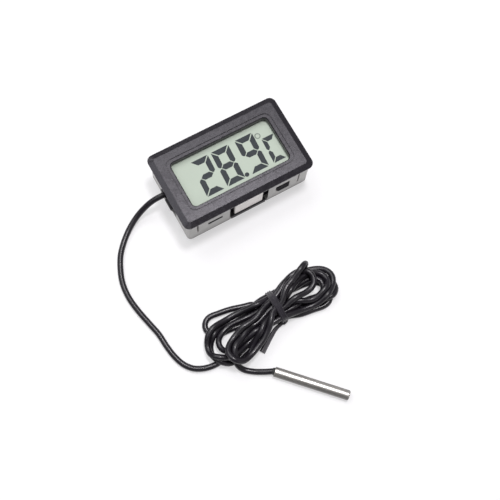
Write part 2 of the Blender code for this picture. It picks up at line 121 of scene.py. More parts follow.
def make_camera():
    """Looks down on the meter from its lower left side."""
    data = bpy.data.cameras.new("camera")
    data.sensor_width, data.lens = SENSOR_WIDTH, LENS
    data.clip_start, data.clip_end = 0.01, 20.0
    camera = bpy.data.objects.new("camera", data)
    bpy.context.scene.collection.objects.link(camera)
    turn = Matrix((CAMERA_RIGHT, CAMERA_UP, CAMERA_BACK)).transposed()
    camera.matrix_world = Matrix.Translation(CAMERA_PLACE) @ turn.to_4x4()
    bpy.context.scene.camera = camera


def make_area_light(name, toward, distance, size, power, colour):
    """A soft lamp in the direction `toward`, facing the meter."""
    data = bpy.data.lights.new(name, "AREA")
    data.shape = "RECTANGLE"
    data.size, data.size_y = size
    data.energy, data.color = power, colour
    lamp = bpy.data.objects.new(name, data)
    bpy.context.scene.collection.objects.link(lamp)
    way = Vector(toward).normalized()
    lamp.location = way * distance
    lamp.rotation_mode = "QUATERNION"
    lamp.rotation_quaternion = way.to_track_quat("Z", "Y")


def make_world():
    """A plain room, brighter towards one side, so that round and bevelled shapes model well."""
    world = bpy.data.worlds.new("studio")
    bpy.context.scene.world = world
    world.use_nodes = True
    tree = world.node_tree
    towards = tree.nodes.new("ShaderNodeVectorMath")
    towards.operation = "DOT_PRODUCT"
    towards.inputs[1].default_value = BRIGHT_SIDE
    place = tree.nodes.new("ShaderNodeTexCoord")
    tree.links.new(place.outputs["Generated"], towards.inputs[0])
    span = tree.nodes.new("ShaderNodeMapRange")
    span.inputs["From Min"].default_value = -1.0
    tree.links.new(towards.outputs["Value"], span.inputs["Value"])
    ramp = tree.nodes.new("ShaderNodeValToRGB")
    points = ramp.color_ramp.elements
    while len(points) < len(ROOM_LEVELS):
        points.new(0.5)
    for point, (where, level) in zip(points, ROOM_LEVELS):
        point.position = where
        point.color = (level * 0.985, level * 0.985, level, 1.0)
    tree.links.new(span.outputs["Result"], ramp.inputs["Fac"])
    sky = tree.nodes["Background"]
    sky.inputs["Strength"].default_value = ROOM_STRENGTH
    tree.links.new(ramp.outputs["Color"], sky.inputs["Color"])


def make_stage():
    """The room, the lamps and the table that the meter lies on."""
    make_world()
    for lamp in LAMPS:
        make_area_light(*lamp)
    bm = bmesh.new()
    bmesh.ops.create_circle(bm, cap_ends=True, segments=96, radius=FLOOR_RADIUS)
    floor = object_from("studio_floor", bm, material_floor())
    view = bpy.context.scene.view_settings
    view.view_transform, view.look = "Standard", "None"


# ---- materials --------------------------------------------------------------------------------
USUAL_GLOSS = 0.5            # the shader's own Specular IOR Level
MIX_A, MIX_B, MIX_RESULT = 6, 7, 2   # the colour sockets of a Mix node


class Surface:
    """One node material; fields are read in the part's own frame, in metres."""

    def __init__(self, name, colour, roughness, metallic=0.0):
        self.material = bpy.data.materials.new(name)
        self.material.use_nodes = True
        self.material.diffuse_color = (*colour, 1.0)
        self.tree = self.material.node_tree
        self.shader = self.tree.nodes["Principled BSDF"]
        self.shader.inputs["Base Color"].default_value = (*colour, 1.0)
        self.shader.inputs["Roughness"].default_value = roughness
        self.shader.inputs["Metallic"].default_value = metallic
        self.place = self.tree.nodes.new("ShaderNodeTexCoord").outputs["Object"]
        self.colour, self.roughness, self.bump = colour, roughness, None

    def node(self, kind, **inputs):
        made = self.tree.nodes.new(kind)
        for key, value in inputs.items():
            made.inputs[key.replace("_", " ")].default_value = value
        return made

    def link(self, output, target):
        self.tree.links.new(output, target)

    def noise(self, size_mm, detail=3.0, rough=0.55, vector=None):
        field = self.node("ShaderNodeTexNoise", Scale=1000.0 / size_mm, Detail=detail,
                          Roughness=rough)
        self.link(vector or self.place, field.inputs["Vector"])
        return field.outputs["Fac"]

    def ramp(self, field, stops):
        """A colour that runs through (place, colour) stops as the field goes from 0 to 1."""
        ramp = self.tree.nodes.new("ShaderNodeValToRGB")
        points = ramp.color_ramp.elements
        while len(points) < len(stops):
            points.new(0.5)
        for point, (place, colour) in zip(points, stops):
            point.position = place
            point.color = (*colour, 1.0)
        self.link(field, ramp.inputs["Fac"])
        return ramp.outputs["Color"]

    def vary_colour(self, field, spread):
        """Base colour runs `spread` darker to `spread` lighter over the field."""
        dark = [max(0.0, c * (1 - spread)) for c in self.colour]
        light = [min(1.0, c * (1 + spread)) for c in self.colour]
        self.link(self.ramp(field, [(0.3, dark), (0.7, light)]),
                  self.shader.inputs["Base Color"])
        return self

    def vary_roughness(self, field, spread):
        """Roughness runs from `spread` less to `spread` more over the field."""
        span = self.node("ShaderNodeMapRange", From_Min=0.3, From_Max=0.7,
                         To_Min=max(0.02, self.roughness - spread),
                         To_Max=self.roughness + spread)
        self.link(field, span.inputs["Value"])
        self.link(span.outputs["Result"], self.shader.inputs["Roughness"])
        return self

    def height(self):
        """Height above the table."""
        parts = self.node("ShaderNodeSeparateXYZ")
        self.link(self.place, parts.inputs["Vector"])
        return parts.outputs["Z"]

    def painted_light_by_height(self, top_mm, stops):
        """Painted light and shade: multiplies the base colour by a ramp that runs from the table up
        to top_mm.
        """
        span = self.node("ShaderNodeMapRange", From_Max=top_mm * MM)
        self.link(self.height(), span.inputs["Value"])
        tint = self.node("ShaderNodeMix")
        tint.data_type, tint.blend_type = "RGBA", "MULTIPLY"
        tint.inputs["Factor"].default_value = 1.0
        colour = self.shader.inputs["Base Color"]
        self.link(colour.links[0].from_socket, tint.inputs[MIX_A])
        self.link(self.ramp(span.outputs["Result"], stops), tint.inputs[MIX_B])
        self.link(tint.outputs[MIX_RESULT], colour)

    def gloss_above(self, low_mm, high_mm):
        """Dull below the first height, with the usual gloss above the second."""
        span = self.node("ShaderNodeMapRange", From_Min=low_mm * MM, From_Max=high_mm * MM,
                         To_Min=0.0, To_Max=USUAL_GLOSS)
        self.link(self.height(), span.inputs["Value"])
        self.link(span.outputs["Result"], self.shader.inputs["Specular IOR Level"])

    def add_bump(self, field, depth_mm, strength=1.0):
        bump = self.node("ShaderNodeBump", Strength=strength, Distance=depth_mm * MM)
        self.link(field, bump.inputs["Height"])
        if self.bump is not None:
            self.link(self.bump, bump.inputs["Normal"])
        self.bump = bump.outputs["Normal"]
        self.link(self.bump, self.shader.inputs["Normal"])
        return self

    def set(self, **values):
        for key, value in values.items():
            self.shader.inputs[key.replace("_", " ")].default_value = value
        return self


def moulded(name, colour, roughness, grain_mm, grain_depth, spread=0.06, wave=0.5,
            gloss=USUAL_GLOSS):
    """Injection moulded plastic: fine spark-eroded grain, faint cloudiness and rub marks."""
    s = Surface(name, colour, roughness)
    s.vary_colour(s.noise(5.0, 4.0), spread)
    s.vary_roughness(s.noise(1.3, 4.0, 0.65), 0.07)
    s.add_bump(s.noise(grain_mm, 2.0), grain_depth)
    s.add_bump(s.noise(3.5, 2.0), 0.02, wave)
    s.set(Specular_IOR_Level=gloss)
    return s


def material_frame(name, colour):
    """Black moulded plastic with a fine sparkle; the hooks under the flange are dull."""
    s = moulded(name, colour, 0.26, 0.30, 0.005, wave=0.1)
    s.set(Specular_Tint=(0.96, 0.935, 1.0, 1.0))
    s.gloss_above(11.2, 11.8)
    return s.material


def material_housing(name, colour):
    """Grey moulded plastic; painted shade darkens its colour towards the edge that it rests on, and
    its gloss is duller there.
    """
    s = moulded(name, colour, 0.42, 0.22, 0.006, 0.035)
    # painted shade: the colour darkens towards the table, a painted contact shadow along the
    # housing's foot
    s.painted_light_by_height(5.0, [(0.12, (0.36, 0.355, 0.36)), (0.30, (0.78, 0.775, 0.78)),
                            (0.70, (0.92, 0.92, 0.92)), (1.0, (1.0, 1.0, 1.0))])
    s.gloss_above(1.2, 1.7)
    return s.material


def material_floor():
    """Pale table lit from below as well, so that shadows on it stay light."""
    s = Surface("studio_paper", (0.43, 0.43, 0.434), 0.75)
    s.vary_colour(s.noise(9.0, 4.0), 0.006)
    s.add_bump(s.noise(0.9, 3.0), 0.01, 0.3)
    s.set(Specular_IOR_Level=0.2, Emission_Color=(1.0, 0.99, 1.0, 1.0), Emission_Strength=0.50)
    return s.material


def material_cable(name, colour=(0.0105, 0.0088, 0.0125), roughness=0.29):
    """Extruded soft PVC: satin, with faint lengthwise unevenness and dull patches."""
    s = Surface(name, colour, roughness)
    s.vary_colour(s.noise(3.0, 4.0), 0.30)
    s.vary_roughness(s.noise(2.2, 4.0, 0.6), 0.06)
    s.add_bump(s.noise(0.35, 3.0), 0.002)
    s.add_bump(s.noise(2.6, 2.0), 0.012, 0.4)
    s.set(Specular_IOR_Level=0.42)
    return s.material


def material_steel():
    """Drawn and polished tube: fine lengthwise lines over a soft bright metal."""
    s = Surface("probe_steel", (0.56, 0.55, 0.535), 0.34, 1.0)
    turn = s.node("ShaderNodeMapping")
    turn.inputs["Rotation"].default_value = (0, 0, -math.atan2(PROBE_WAY.y, PROBE_WAY.x))
    s.link(s.place, turn.inputs["Vector"])
    lengthwise = s.node("ShaderNodeMapping")
    lengthwise.inputs["Scale"].default_value = (0.03, 1.0, 1.0)
    s.link(turn.outputs["Vector"], lengthwise.inputs["Vector"])
    lines = s.noise(0.20, 3.0, 0.6, lengthwise.outputs["Vector"])
    s.vary_colour(lines, 0.08)
    # painted shade: the flanks are painted dark as a painted reflection of the shaded table, so the
    # crown stays a bright band
    s.painted_light_by_height(2 * PROBE_RADIUS, [(0.60, (0.34, 0.335, 0.33)), (0.81, (0.30, 0.29, 0.285)),
                                         (0.90, (1.0, 0.985, 0.965))])
    s.vary_roughness(s.noise(1.6, 4.0, 0.65), 0.05)
    s.add_bump(lines, 0.0006, 0.5)
    return s.material


def material_metal(name, colour, roughness):
    """Plated or rolled metal with a soft cloudy shine."""
    s = Surface(name, colour, roughness, 1.0)
    s.vary_colour(s.noise(1.8, 4.0), 0.08)
    s.vary_roughness(s.noise(0.5, 4.0, 0.7), 0.09)
    s.add_bump(s.noise(0.25, 3.0), 0.003)
    return s.material


def material_board():
    """Green solder mask with slightly raised tracks under it."""
    s = Surface("board_green", (0.018, 0.13, 0.055), 0.38)
    cells = s.node("ShaderNodeTexVoronoi", Scale=520.0)
    cells.feature = "DISTANCE_TO_EDGE"
    cells.distance = "CHEBYCHEV"
    s.link(s.place, cells.inputs["Vector"])
    tracks = cells.outputs["Distance"]
    s.link(s.ramp(tracks, [(0.05, (0.03, 0.22, 0.09)), (0.10, (0.016, 0.12, 0.05))]),
           s.shader.inputs["Base Color"])
    s.add_bump(tracks, 0.02, 0.4)
    s.vary_roughness(s.noise(1.2, 3.0), 0.06)
    return s.material


def material_film():
    """Front polariser: pale green, matt, with a very fine haze."""
    s = Surface("display_film", (0.432, 0.490, 0.418), 0.5)
    s.vary_colour(s.noise(7.0, 3.0), 0.012)
    s.vary_roughness(s.noise(0.8, 3.0), 0.05)
    s.add_bump(s.noise(0.09, 2.0), 0.0015)
    s.set(Specular_IOR_Level=0.12)
    return s.material


def material_segment(name, colour):
    """Liquid crystal figures seen through the film."""
    s = Surface(name, colour, 0.5)
    s.vary_colour(s.noise(1.5, 3.0), 0.10)
    s.vary_roughness(s.noise(0.8, 3.0), 0.05)
    s.add_bump(s.noise(0.09, 2.0), 0.0015)
    s.set(Specular_IOR_Level=0.12)
    return s.material


def material_glass():
    """Pale, glossy display glass."""
    s = Surface("display_glass", (0.62, 0.70, 0.62), 0.08)
    s.vary_colour(s.noise(6.0, 2.0), 0.02)
    s.vary_roughness(s.noise(2.0, 3.0), 0.03)
    s.add_bump(s.noise(3.0, 2.0), 0.002, 0.4)
    s.set(Coat_Weight=0.5, Coat_Roughness=0.05)
    return s.material


def make_materials():
    """One material for each material slot of the record."""
    return {
        "black_plastic": material_frame("frame_black", (0.0125, 0.011, 0.0145)),
        "grey_plastic": material_housing("housing_grey", (0.47, 0.462, 0.452)),
        "dark_grey_plastic": moulded("door_grey", (0.115, 0.11, 0.115), 0.55, 0.2, 0.006,
                                     gloss=0.03).material,
        "white_plastic": moulded("panel_white", (0.93, 0.885, 0.86), 0.42, 0.2, 0.005,
                                 0.02).material,
        "lcd_film": material_film(),
        "lcd_glass": material_glass(),
        "silver_film": material_metal("reflector_film", (0.72, 0.73, 0.68), 0.42),
        "elastomer": moulded("contact_rubber", (0.42, 0.20, 0.23), 0.6, 0.3, 0.01).material,
        "circuit_green": material_board(),
        "epoxy_black": moulded("potting_black", (0.012, 0.012, 0.013), 0.26, 0.6,
                               0.02).material,
        "tin_metal": material_metal("tinned_metal", (0.70, 0.70, 0.68), 0.30),
        "cell_steel": material_metal("cell_steel", (0.76, 0.76, 0.75), 0.24),
        "ceramic_tan": moulded("ceramic_tan", (0.46, 0.34, 0.21), 0.5, 0.2, 0.01).material,
        "resistor_black": moulded("resistor_black", (0.03, 0.03, 0.033), 0.38, 0.2,
                                  0.006).material,
        "cable_black": material_cable("cable_black"),
        "wire_red": material_cable("wire_red", (0.42, 0.02, 0.02)),
        "wire_white": material_cable("wire_white", (0.66, 0.65, 0.61)),
        "stainless_steel": material_steel(),
        "seal_black": moulded("seal_black", (0.02, 0.02, 0.02), 0.5, 0.3, 0.012).material,
        "bead_glass": moulded("bead_glass", (0.22, 0.08, 0.03), 0.14, 0.6, 0.01).material,
    }


# ---- small helpers ------------------------------------------------------------------------------
def turn_angles(count):
    """Even angles round a full turn."""
    return [2 * math.pi * i / count for i in range(count)]


def skin(bm, rings, closed=False):
    """Faces between each ring of corners and the next; closed joins the last to the first."""
    following = rings[1:] + rings[:1] if closed else rings[1:]
    for a, b in zip(rings, following):
        for i in range(len(a)):
            j = (i + 1) % len(a)
            bm.faces.new((a[i], a[j], b[j], b[i]))


def capped_skin(bm, rings):
    """A closed solid: the skin over the rings and a face on each end."""
    skin(bm, rings)
    bm.faces.new(rings[0])
    bm.faces.new(rings[-1])


def object_from(name, bm, material, sharp_angle=35.0):
    """A bmesh, in metres, as a shaded object."""
    bmesh.ops.recalc_face_normals(bm, faces=bm.faces)
    mesh = bpy.data.meshes.new(name)
    bm.to_mesh(mesh)
    bm.free()
    mesh.shade_smooth()
    mesh.set_sharp_from_angle(angle=math.radians(sharp_angle))
    mesh.materials.append(material)
    obj = bpy.data.objects.new(name, mesh)
    bpy.context.scene.collection.objects.link(obj)
    return obj


SAME_POINT, FLAT_ANGLE = 2e-6, 0.6    # metres and degrees, for making CAD faces whole
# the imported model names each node's material after its slot
SLOTS = {name: node.data.materials[0].name.split(".")[0] for name, node in NODES.items()}


def dress(node, looks, name, width_mm, angle=28.0, sharp_angle=35.0):
    """A finer copy of a CAD node: its flat faces made whole again and its edges eased.

    Edges that turn by more than `angle` degrees are rounded by width_mm.
    """
    source = NODES[node]
    bm = bmesh.new()
    bm.from_mesh(source.data)
    bmesh.ops.remove_doubles(bm, verts=bm.verts, dist=SAME_POINT)
    bmesh.ops.dissolve_limit(bm, angle_limit=math.radians(FLAT_ANGLE), verts=bm.verts,
                             edges=bm.edges)
    slot = SLOTS[node]
    piece = object_from(name, bm, looks[slot], sharp_angle)
    ease = piece.modifiers.new("eased_edges", "BEVEL")
    ease.width, ease.segments = width_mm * MM, 2
    ease.limit_method, ease.angle_limit = "ANGLE", math.radians(angle)
    ease.harden_normals = True
    ease.use_clamp_overlap = True
    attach(piece, source["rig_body"])
    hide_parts(node)
    return piece


def make_hook_faces(look):
    """Outer faces of the frame's four hooks, flush with the walls they snap into."""
    bm = bmesh.new()
    for side in (-1, 1):
        for outline in HOOK_OUTLINES:
            capped_skin(bm, [[bm.verts.new((x * MM, side * y * MM, z * MM)) for x, z in outline]
                             for y in (HOOK_ROOT, WALL_FACE + HOOK_PROUD)])
    faces = object_from("hook_faces", bm, look)
    ease = faces.modifiers.new("eased_edges", "BEVEL")
    ease.width, ease.segments = HOOK_EASE * MM, 2
    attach(faces, "meter")


def make_painted_gap_shadow(look):
    """Thin black strip that stands up along the battery door's outer edge, a painted shadow line
    for the gap under the end panel.
    """
    bm = bmesh.new()
    front, back = -WALL_FACE, -WALL_FACE + STRIP_THICK
    inwards, down = STRIP_CHAMFER
    section = [(front, STRIP_BOTTOM), (front, STRIP_TOP - down), (front + inwards, STRIP_TOP),
               (back, STRIP_TOP), (back, STRIP_BOTTOM)]
    capped_skin(bm, [[bm.verts.new((x * MM, y * MM, z * MM)) for y, z in section]
                     for x in (-STRIP_HALF, STRIP_HALF)])
    strip = object_from("painted_gap_shadow_strip", bm, look)
    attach(strip, "door")


# ---- display digits -----------------------------------------------------------------------------
def bars(x0, x1, y0, y1, upright, level, gap):
    """Outlines of the seven bars of a figure, with mitred joints a gap apart.

    The box x0..x1, y0..y1 holds the figure; upright and level are the bars' thicknesses.
    """
    ym, g = 0.5 * (y0 + y1), 0.7 * gap
    slope = level / upright

    def side(outer, inward, end, way):
        """Half-height bar at x = outer, from the corner at y = end to the middle."""
        tip = ym - way * g
        return [(outer, end + way * g * slope), (outer, tip - way * 0.3 * level),
                (outer + inward * 0.3 * upright, tip), (outer + inward * 0.55 * upright, tip),
                (outer + inward * upright, tip - way * 0.5 * level),
                (outer + inward * upright, end + way * (level + g))]

    def end(y, way):
        """Level bar at the top or bottom."""
        return [(x0 + g, y), (x1 - g, y), (x1 - upright - g, y + way * level),
                (x0 + upright + g, y + way * level)]

    half = 0.5 * level
    return {"a": end(y1, -1), "d": end(y0, 1),
            "b": side(x1, -1, y1, -1), "c": side(x1, -1, y0, 1),
            "f": side(x0, 1, y1, -1), "e": side(x0, 1, y0, 1),
            "g": [(x0 + 0.45 * upright + g, ym), (x0 + upright + g, ym + half),
                  (x1 - upright - g, ym + half), (x1 - 0.45 * upright - g, ym),
                  (x1 - upright - g, ym - half), (x0 + upright + g, ym - half)]}


def make_digits():
    """Seven-segment figures reading 28.9, a degree ring and a C, as thin raised shapes."""
    bm = bmesh.new()

    def plate(outline):
        """One raised shape, leaning with the figures."""
        capped_skin(bm, [[bm.verts.new(((x + DIGIT_SLANT * y) * MM, y * MM, z * MM))
                          for x, y in outline] for z in (FIGURE_BOTTOM, FIGURE_TOP)])

    for box, thick, lit in FIGURES:
        figure = bars(*box, *thick)
        for letter in lit:
            plate(figure[letter])
    plate([(POINT_X + POINT_RADIUS * math.cos(t), POINT_Y + POINT_RADIUS * math.sin(t))
           for t in turn_angles(20)])
    look = material_segment("display_segments", (0.034, 0.040, 0.045))
    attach(object_from("display_digits", bm, look), "meter")

    # the degree sign is a narrow ring, printed paler than the figures
    bm = bmesh.new()
    middle = DEGREE_X + DIGIT_SLANT * DEGREE_Y
    corners = ((DEGREE_INNER, FIGURE_BOTTOM), (DEGREE_OUTER, FIGURE_BOTTOM),
               (DEGREE_OUTER, FIGURE_TOP), (DEGREE_INNER, FIGURE_TOP))
    skin(bm, [[bm.verts.new(((middle + radius * math.cos(a)) * MM,
                             (DEGREE_Y + radius * math.sin(a)) * MM, z * MM))
               for a in turn_angles(32)] for radius, z in corners], closed=True)
    look = material_segment("degree_mark", (0.20, 0.23, 0.20))
    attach(object_from("degree_ring", bm, look), "meter")


# ---- cord ---------------------------------------------------------------------------------------
# The free stretch from the meter, then every half turn of the hank in the order it was wound.
LEAD_ROUTE = [
    (-20.9, 2.7, 7.4), (-23.6, 2.7, 7.4), (-27.9, 2.9, 6.3), (-33.2, 2.2, 3.2),
    (-38.0, -0.1, 1.45), (-42.1, -3.5, 1.0), (-45.1, -7.0, 1.0), (-47.2, -10.9, 1.0),
    (-48.9, -15.7, 1.0), (-49.4, -21.1, 1.0), (-48.8, -26.4, 1.0), (-47.6, -31.9, 1.0),
    (-46.5, -36.8, 1.0), (-46.1, -41.7, 1.0), (-45.4, -45.8, 1.0), (-44.0, -49.5, 1.0),
    (-41.4, -52.4, 1.0), (-38.4, -53.9, 1.0), (-34.7, -54.3, 1.0), (-32.0, -54.1, 1.0),
    (-29.0, -53.5, 1.0), (-24.0, -52.5, 1.0), (-18.0, -51.8, 1.2)]
# Each half turn: (y, z) where it passes under the tie, then its route on the far side of it.
HALF_TURNS = [
    ((-51.4, 1.5), [(-3.8, -52.5, 1.0), (0.3, -53.3, 1.0), (3.5, -53.9, 1.0), (6.3, -54.0, 1.0),
                    (8.4, -53.3, 1.0), (9.3, -51.5, 1.0), (9.0, -49.3, 1.0), (7.8, -47.0, 1.0),
                    (6.0, -45.1, 1.0), (2.6, -44.2, 1.0), (-2.4, -44.3, 1.0)]),
    ((-45.1, 1.5), [(-14.0, -43.8, 1.2), (-17.4, -42.4, 1.0), (-20.3, -41.2, 1.0),
                    (-23.1, -40.4, 1.0), (-26.6, -40.1, 1.0), (-29.6, -40.3, 1.0),
                    (-32.0, -41.1, 1.0), (-33.2, -42.6, 1.0), (-32.2, -44.4, 1.0),
                    (-30.3, -45.4, 1.0), (-27.0, -46.0, 1.0), (-20.7, -47.2, 1.0),
                    (-15.2, -48.5, 1.2)]),
    ((-49.3, 1.5), [(-3.3, -51.0, 1.2), (3.1, -52.2, 1.5), (7.5, -52.8, 1.9), (10.4, -52.6, 1.4),
                    (12.2, -51.2, 1.0), (12.5, -49.0, 1.0), (11.0, -46.8, 1.0),
                    (7.5, -44.8, 1.0), (3.6, -43.6, 1.0), (-1.1, -43.2, 1.0)]),
    ((-43.0, 1.5), [(-14.2, -44.0, 1.6), (-17.4, -44.3, 1.4), (-20.6, -44.3, 1.2),
                    (-24.1, -44.4, 1.2), (-27.0, -44.6, 1.8), (-29.5, -45.1, 2.6),
                    (-31.8, -45.9, 2.6), (-33.6, -47.3, 1.6), (-34.6, -49.3, 1.0),
                    (-34.8, -51.4, 1.2), (-34.2, -53.6, 2.6), (-32.8, -55.2, 2.4),
                    (-30.6, -56.3, 1.2), (-27.8, -56.1, 1.0), (-23.9, -54.8, 1.0),
                    (-20.1, -53.4, 1.2), (-16.0, -51.9, 2.0)]),
    ((-50.35, 3.3), [(-2.3, -50.2, 3.2), (2.1, -50.3, 3.0), (5.3, -50.3, 3.0),
                     (7.9, -49.6, 3.0), (8.9, -47.9, 3.0), (7.9, -46.1, 3.0), (5.5, -44.9, 3.0),
                     (3.0, -44.5, 3.0), (0.0, -44.5, 3.0), (-3.8, -45.2, 3.0)]),
    ((-46.15, 3.3), [(-13.9, -46.1, 3.0), (-18.3, -45.9, 3.0), (-21.6, -45.7, 3.0),
                     (-24.6, -45.7, 3.0), (-27.6, -46.2, 3.0), (-30.2, -47.4, 2.8),
                     (-31.7, -49.3, 2.6), (-31.7, -51.3, 2.6), (-30.3, -52.6, 2.9),
                     (-27.6, -52.6, 3.1), (-22.4, -51.8, 3.4), (-17.4, -51.2, 4.4)]),
    ((-51.4, 5.1), [(-3.9, -52.1, 4.0), (0.3, -52.9, 3.2), (4.2, -53.1, 3.0), (6.9, -52.7, 3.0),
                    (9.4, -51.6, 3.0), (11.4, -49.9, 3.0), (12.6, -48.0, 3.0),
                    (12.9, -46.0, 3.0), (12.0, -44.0, 3.0), (9.9, -42.5, 2.8),
                    (7.5, -41.6, 2.6), (4.8, -41.1, 2.6), (1.5, -41.0, 2.6), (-1.9, -41.6, 2.8),
                    (-5.6, -43.1, 3.0)]),
    ((-44.05, 3.3), [(-14.1, -44.0, 3.3), (-17.2, -43.7, 3.2), (-19.9, -43.4, 3.0),
                     (-22.9, -43.2, 3.0), (-26.2, -43.4, 3.2), (-29.1, -43.9, 4.2),
                     (-31.7, -44.8, 4.4), (-33.8, -46.4, 3.4), (-35.0, -48.4, 3.0),
                     (-35.4, -50.6, 3.2), (-34.8, -52.6, 4.2), (-33.2, -54.0, 4.2),
                     (-31.2, -54.8, 3.3), (-28.8, -55.0, 3.0), (-26.4, -54.5, 3.0),
                     (-23.2, -53.3, 3.0), (-19.0, -51.6, 3.0), (-15.0, -49.6, 3.0)]),
    ((-48.25, 3.3), [(-3.6, -49.2, 4.0), (0.7, -50.8, 4.6), (4.0, -51.6, 5.0), (6.9, -51.5, 4.9),
                     (9.1, -50.4, 4.7), (10.3, -48.7, 4.5), (10.4, -46.7, 4.3),
                     (9.4, -45.0, 4.1), (7.7, -43.9, 4.0), (5.4, -43.2, 4.0),
                     (2.8, -43.1, 4.0), (-0.5, -43.9, 4.2), (-4.2, -45.9, 4.7)]),
    ((-47.2, 5.1), [(-14.0, -48.4, 4.9), (-18.0, -49.6, 4.8), (-22.0, -51.0, 4.5),
                    (-25.6, -52.5, 4.2), (-28.4, -54.0, 4.0), (-29.9, -55.7, 3.9),
                    (-29.6, -57.4, 3.8), (-27.9, -58.0, 3.8), (-25.6, -57.2, 3.8),
                    (-22.4, -55.3, 4.1), (-19.0, -53.2, 4.5), (-15.2, -51.0, 4.9)]),
    ((-49.3, 5.1), [(-4.3, -48.6, 5.6), (-1.3, -48.5, 5.8), (1.2, -48.5, 6.0), (3.4, -48.1, 6.2),
                    (5.2, -47.0, 6.2), (6.4, -45.4, 6.2), (6.5, -43.6, 6.2), (5.4, -42.2, 6.0),
                    (3.6, -41.3, 5.4), (1.4, -41.0, 5.0), (-1.2, -41.3, 4.8),
                    (-4.4, -42.8, 4.8)]),
    ((-45.1, 5.1), [(-14.0, -47.3, 5.6), (-17.5, -48.4, 6.2), (-22.0, -49.1, 6.4),
                    (-25.9, -49.8, 6.4), (-28.2, -50.9, 6.4), (-29.9, -52.6, 6.2),
                    (-30.5, -54.6, 6.0), (-30.0, -56.7, 5.6), (-28.2, -58.1, 5.3),
                    (-25.8, -58.2, 5.3), (-23.5, -57.5, 5.4), (-21.0, -56.2, 5.7),
                    (-17.9, -54.2, 6.0), (-14.8, -51.9, 6.4)]),
    ((-48.2, 6.9), [(-6.0, -46.2, 7.2), (-3.5, -44.6, 7.6), (-0.3, -42.9, 8.2),
                    (2.4, -41.7, 8.6), (4.8, -40.7, 8.2), (6.2, -40.1, 6.4), (6.0, -40.2, 4.2),
                    (4.0, -41.0, 3.0), (0.6, -42.6, 2.4), (-3.9, -45.4, 1.9)]),
    ((-47.2, 1.5), [(-14.0, -47.6, 1.8), (-17.5, -48.4, 2.6), (-21.5, -49.6, 3.0),
                    (-24.4, -50.8, 3.0), (-26.9, -52.3, 3.0), (-28.6, -54.0, 3.0),
                    (-29.4, -55.8, 3.0), (-29.5, -57.4, 2.6), (-29.0, -59.1, 1.5),
                    (-27.7, -60.7, 1.0), (-25.4, -62.3, 1.05), (-22.9, -63.8, 1.3)]),
]
CORD_STEP = 1.0              # distance between the cord's points
FREE_FROM = LEAD_ROUTE[16]   # the lead keeps its place up to here
TAIL_POINTS = 5              # the last points, at the probe, keep their places
SETTLE_STEPS = 340
PAIRS_EVERY = 4              # steps between looks at which strands are near each other
NEAR = 1.6 * CORD_DIAMETER
SMOOTHING, EVEN_SHARE, MEAN_SHARE = 0.35, 0.85, 0.15
HOLD = 0.05                  # pull back to the plan, which fades to a fifth as the cord settles
UPRIGHT_HOLD, SAG = 0.3, 0.008
CONTACT_ROUNDS, CONTACT_PUSH = 3, 0.35
FOLD_SPAN, FOLD_CHORD = 6, 5.35      # points this many apart stay this far apart, in millimetres
FOLD_PUSH = 0.08
TIE_MARGIN, TIE_LIFT = 0.4, 0.5      # the strands in the tie leave room for it underneath


def planned_route():
    """The lead, then each half turn under the tie and out on the next side, then the probe."""
    points = list(LEAD_ROUTE)
    for turn, ((y, z), far_side) in enumerate(HALF_TURNS):
        way = 1 if turn % 2 == 0 else -1
        points += [(TIE_X - way * 1.6, y, z), (TIE_X + way * 1.6, y, z), *far_side]
    points.append(tuple(PROBE_START - 0.35 * PROBE_WAY))
    return np.array(points, float)


def spaced(line, step):
    """Points an even distance apart along a line of points."""
    along = np.r_[0, np.cumsum(np.linalg.norm(np.diff(line, axis=0), axis=1))]
    at = np.linspace(0, along[-1], max(3, round(along[-1] / step)) + 1)
    return np.stack([np.interp(at, along, line[:, k]) for k in range(3)], axis=1)


def curve_through(points, step):
    """Even points on a centripetal curve through the given ones."""
    p = np.vstack([2 * points[0] - points[1], points, 2 * points[-1] - points[-2]])
    fine = []
    for a, b, c, d in zip(p, p[1:], p[2:], p[3:]):
        t1 = math.sqrt(np.linalg.norm(b - a))
        t2 = t1 + math.sqrt(np.linalg.norm(c - b))
        t3 = t2 + math.sqrt(np.linalg.norm(d - c))
        for t in t1 + (t2 - t1) * np.arange(24) / 24:
            ab = a + (b - a) * t / t1
            bc = b + (c - b) * (t - t1) / (t2 - t1)
            cd = c + (d - c) * (t - t2) / (t3 - t2)
            abc = ab + (bc - ab) * t / t2
            bcd = bc + (cd - bc) * (t - t1) / (t3 - t1)
            fine.append(abc + (bcd - abc) * (t - t1) / (t2 - t1))
    return spaced(np.array(fine + [p[-2]]), step)


def near_pairs(line, reach, apart):
    """Index pairs of points nearer than reach that are more than `apart` points apart."""
    found = []
    for start in range(0, len(line), 200):
        away = np.linalg.norm(line[start:start + 200, None] - line[None], axis=2)
        a, b = np.nonzero(away < reach)
        keep = b - a - start > apart
        found.append(np.stack([a[keep] + start, b[keep]], axis=1))
    return np.concatenate(found)


